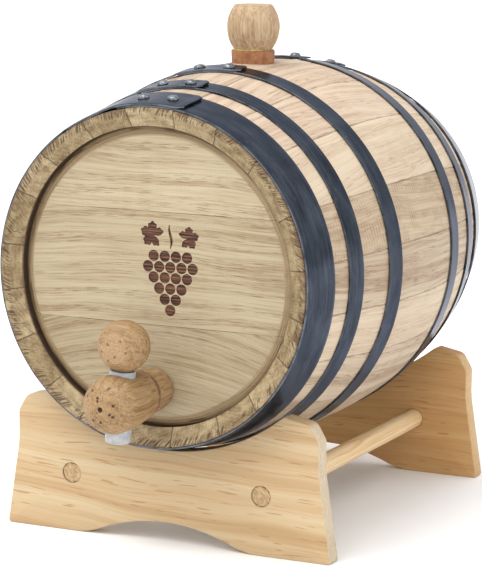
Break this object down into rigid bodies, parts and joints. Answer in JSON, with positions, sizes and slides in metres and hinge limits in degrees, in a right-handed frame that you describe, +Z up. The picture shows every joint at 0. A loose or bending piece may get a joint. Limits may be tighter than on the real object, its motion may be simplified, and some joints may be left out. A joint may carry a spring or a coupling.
{
  "type": "oak wine barrel",
  "caption": "Small oak barrel with bent staves, two pegged heads and riveted steel hoops, a knobbed bung on top and a wooden tap in front, lying on a two-board cradle.",
  "frame": {"origin": "on the table, midway between the front of the tap and the rear stave ends, on the barrel's centre plane", "axes": "+Z up, -Y the tapped front, +Y along the barrel axis to the rear, +X to the right seen from the front"},
  "size_m": [0.176, 0.2645, 0.2377],
  "materials": {
    "stave_oak": "planed oak, raw",
    "head_oak": "planed oak, raw",
    "pin_oak": "raw",
    "hoop_steel": "blackened, semi-matt",
    "rivet_steel": "galvanised",
    "bung_rubber": "matt",
    "bung_wood": "turned, raw",
    "tap_wood": "turned, raw",
    "tap_plastic": "milky translucent",
    "stand_pine": "planed pine, raw",
    "dowel_pine": "raw"
  },
  "bodies": {
    "stand": {"front_board": "stand_pine", "rear_board": "stand_pine", "left_dowel": "dowel_pine", "right_dowel": "dowel_pine"},
    "barrel": {"stave_01": "stave_oak", "stave_02": "stave_oak", "stave_03": "stave_oak", "stave_04": "stave_oak", "stave_05": "stave_oak", "stave_06": "stave_oak", "stave_07": "stave_oak", "stave_08": "stave_oak", "stave_09": "stave_oak", "stave_10": "stave_oak", "stave_11": "stave_oak", "stave_12": "stave_oak", "stave_13": "stave_oak", "stave_14": "stave_oak", "stave_15": "stave_oak", "stave_16": "stave_oak", "stave_17": "stave_oak", "stave_18": "stave_oak", "stave_19": "stave_oak", "stave_20": "stave_oak", "front_head_top": "head_oak", "front_head_middle": "head_oak", "front_head_bottom": "head_oak", "rear_head_top": "head_oak", "rear_head_middle": "head_oak", "rear_head_bottom": "head_oak", "front_head_pins": "pin_oak", "rear_head_pins": "pin_oak", "front_head_hoop": "hoop_steel", "front_quarter_hoop": "hoop_steel", "front_bilge_hoop": "hoop_steel", "rear_bilge_hoop": "hoop_steel", "rear_quarter_hoop": "hoop_steel", "rear_head_hoop": "hoop_steel", "hoop_rivets": "rivet_steel"},
    "bung": {"bung_plug": "bung_rubber", "bung_knob": "bung_wood"},
    "tap": {"tap_body": "tap_wood", "tap_liner": "tap_plastic"},
    "key": {"key_stem": "tap_plastic", "key_ball": "tap_wood"}
  },
  "joints": [
    {"name": "barrel_lift", "type": "slide", "parent": "stand", "child": "barrel", "axis": [0, 0, 1], "range_m": [0, 0.08]},
    {"name": "bung_pull", "type": "slide", "parent": "barrel", "child": "bung", "axis": [0, 0, 1], "range_m": [0, 0.045]},
    {"name": "tap_pull", "type": "slide", "parent": "barrel", "child": "tap", "axis": [0, -1, 0], "range_m": [0, 0.06]},
    {"name": "key_turn", "type": "hinge", "parent": "tap", "child": "key", "pos_m": [0, -0.11375, 0.0731], "axis": [0.0785, 0, 0.9969], "continuous": true}
  ]
}
